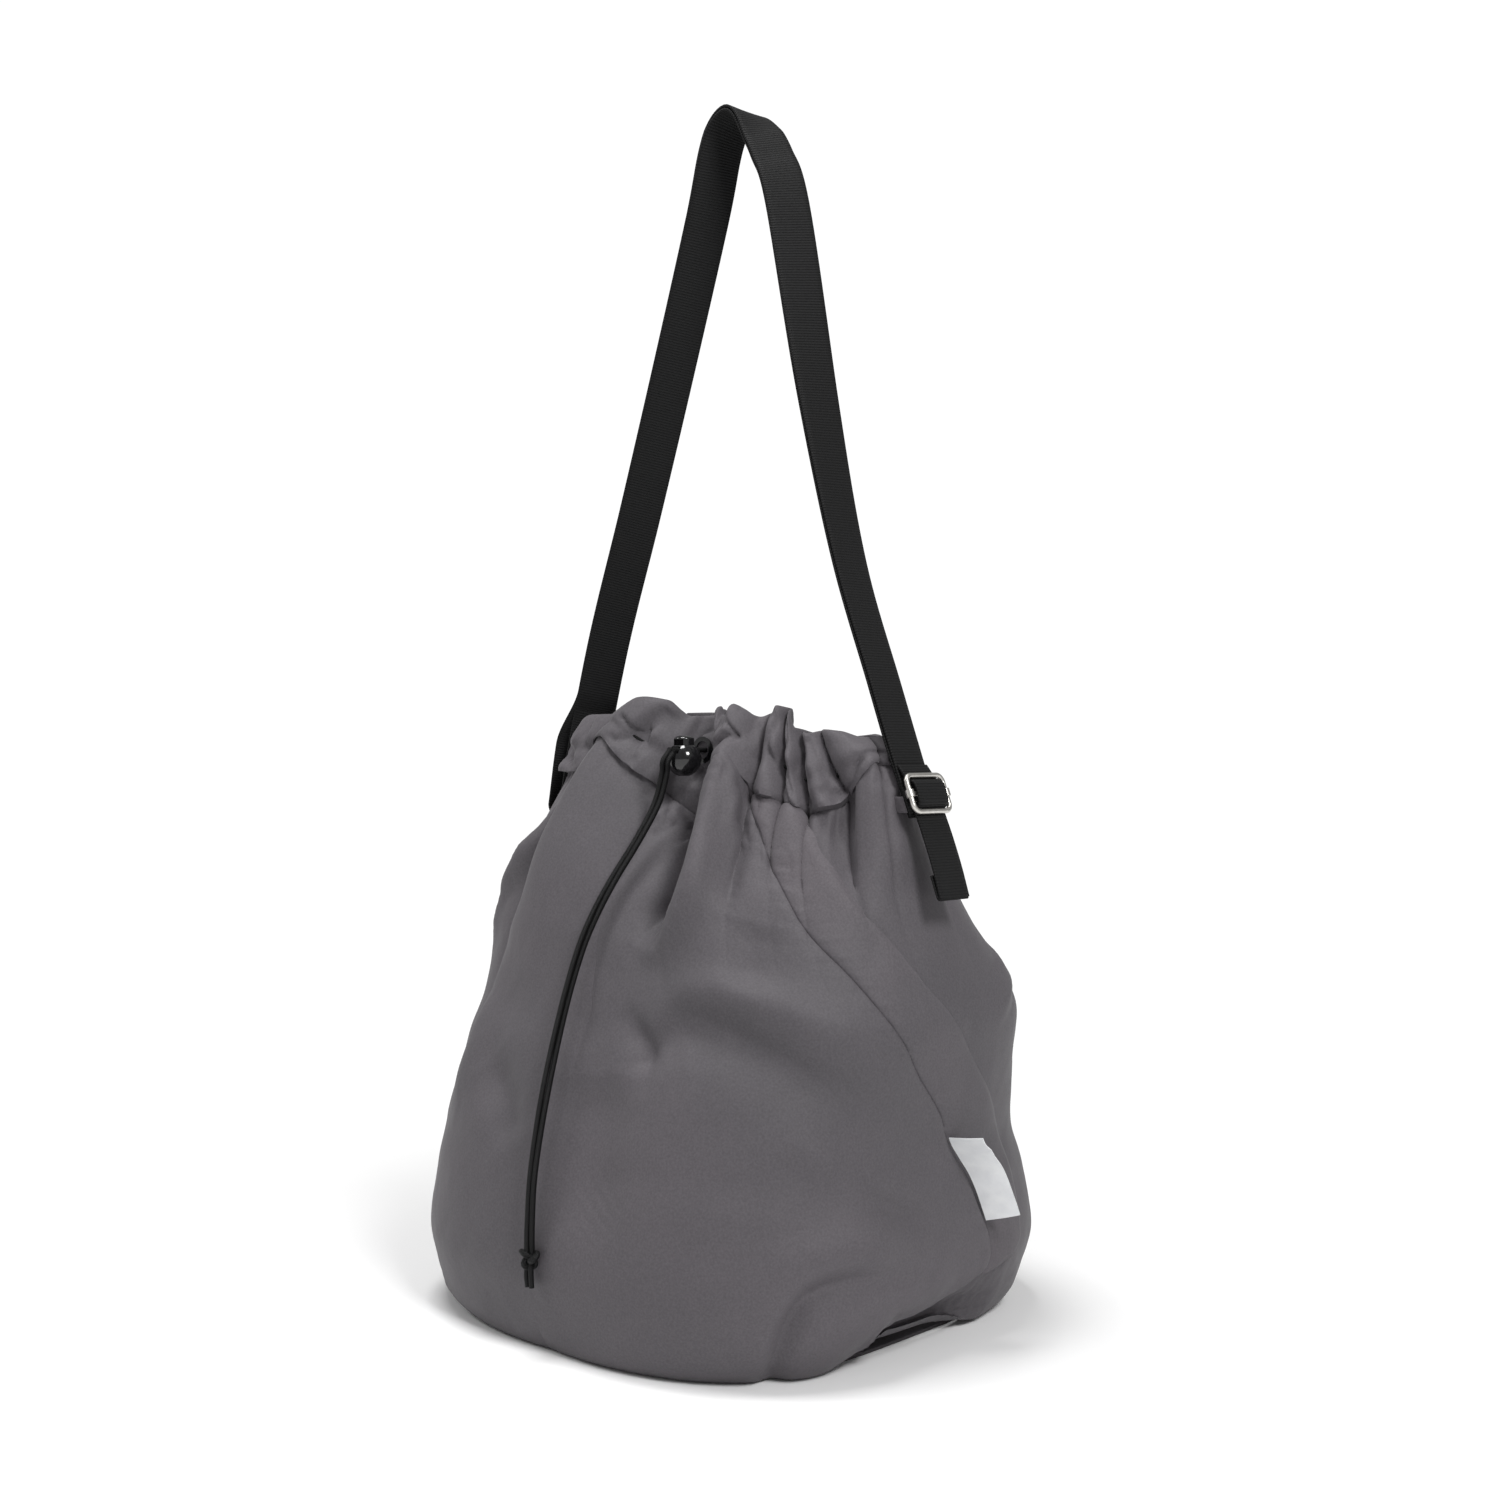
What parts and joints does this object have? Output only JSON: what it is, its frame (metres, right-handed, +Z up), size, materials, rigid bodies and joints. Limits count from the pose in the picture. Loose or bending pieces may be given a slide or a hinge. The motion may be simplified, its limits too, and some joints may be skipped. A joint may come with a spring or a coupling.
{
  "type": "drawstring shoe bag",
  "caption": "Gathered fabric bucket bag with a drawstring mouth, overlay front pocket, webbing shoulder strap with slider, and cord lock.",
  "frame": {"origin": "centre of the base, on its underside", "axes": "+Z up, -Y to the front (cord side), +X to the slider's side"},
  "size_m": [0.3256, 0.311, 0.6816],
  "materials": {
    "bag_fabric": "matt fine-weave grey nylon",
    "label_weave": "smooth white woven label, blank",
    "strap_webbing": "ribbed black webbing",
    "cord_braid": "black braided cord",
    "lock_plastic": "glossy black moulding",
    "slider_nickel": "satin nickel",
    "spring_steel": "drawn wire",
    "eyelet_metal": "black enamel"
  },
  "bodies": {
    "bag": {"base_panel": "bag_fabric", "front_wall": "bag_fabric", "back_wall": "bag_fabric", "pocket_panel": "bag_fabric", "pocket_edge_band": "bag_fabric", "label_tab": "label_weave", "left_casing_end": "bag_fabric", "right_casing_end": "bag_fabric", "left_strap_tab": "bag_fabric", "right_strap_tab": "bag_fabric"},
    "front_rim": {"front_casing": "bag_fabric", "cord_eyelet": "eyelet_metal", "drawstring_loop": "cord_braid"},
    "back_rim": {"back_casing": "bag_fabric"},
    "cord_lock": {"cord_lock_barrel": "lock_plastic", "cord_lock_spring": "spring_steel"},
    "lock_plunger": {"cord_lock_plunger": "lock_plastic"},
    "cord_tails": {"drawstring_tails": "cord_braid"},
    "strap": {"shoulder_strap": "strap_webbing"},
    "slider": {"slider_frame": "slider_nickel", "strap_tail": "strap_webbing"},
    "slider_bar": {"slider_bar": "slider_nickel"}
  },
  "joints": [
    {"name": "mouth_front", "type": "slide", "parent": "bag", "child": "front_rim", "axis": [0, -1, 0], "range_m": [0, 0.055], "deforming": ["drawstring_loop"]},
    {"name": "mouth_back", "type": "slide", "parent": "bag", "child": "back_rim", "axis": [0, 1, 0], "range_m": [0, 0.055]},
    {"name": "lock_slide", "type": "slide", "parent": "front_rim", "child": "cord_lock", "axis": [0, -1, 0], "range_m": [0, 0.04]},
    {"name": "plunger_press", "type": "slide", "parent": "cord_lock", "child": "lock_plunger", "axis": [0, 0, -1], "range_m": [0, 0.004], "stiffness_N_per_m": 600, "springref_m": -0.002, "deforming": ["cord_lock_spring"]},
    {"name": "cord_swing", "type": "hinge", "parent": "cord_lock", "child": "cord_tails", "pos_m": [0, -0.07, 0.31], "axis": [-1, 0, 0], "range_deg": [0, 70]},
    {"name": "strap_swing", "type": "hinge", "parent": "bag", "child": "strap", "pos_m": [0, 0, 0.284], "axis": [-1, 0, 0], "range_deg": [-68, 68], "deforming": ["left_strap_tab", "right_strap_tab"]},
    {"name": "slider_slide", "type": "slide", "parent": "strap", "child": "slider", "axis": [-0.339, 0, 0.9408], "range_m": [0, 0.06]},
    {"name": "bar_travel", "type": "slide", "parent": "slider", "child": "slider_bar", "axis": [-0.339, 0, 0.9408], "range_m": [-0.0025, 0.0025]}
  ],
  "couplings": [
    {"joint": "mouth_back", "follows": "mouth_front", "ratio": 1}
  ]
}
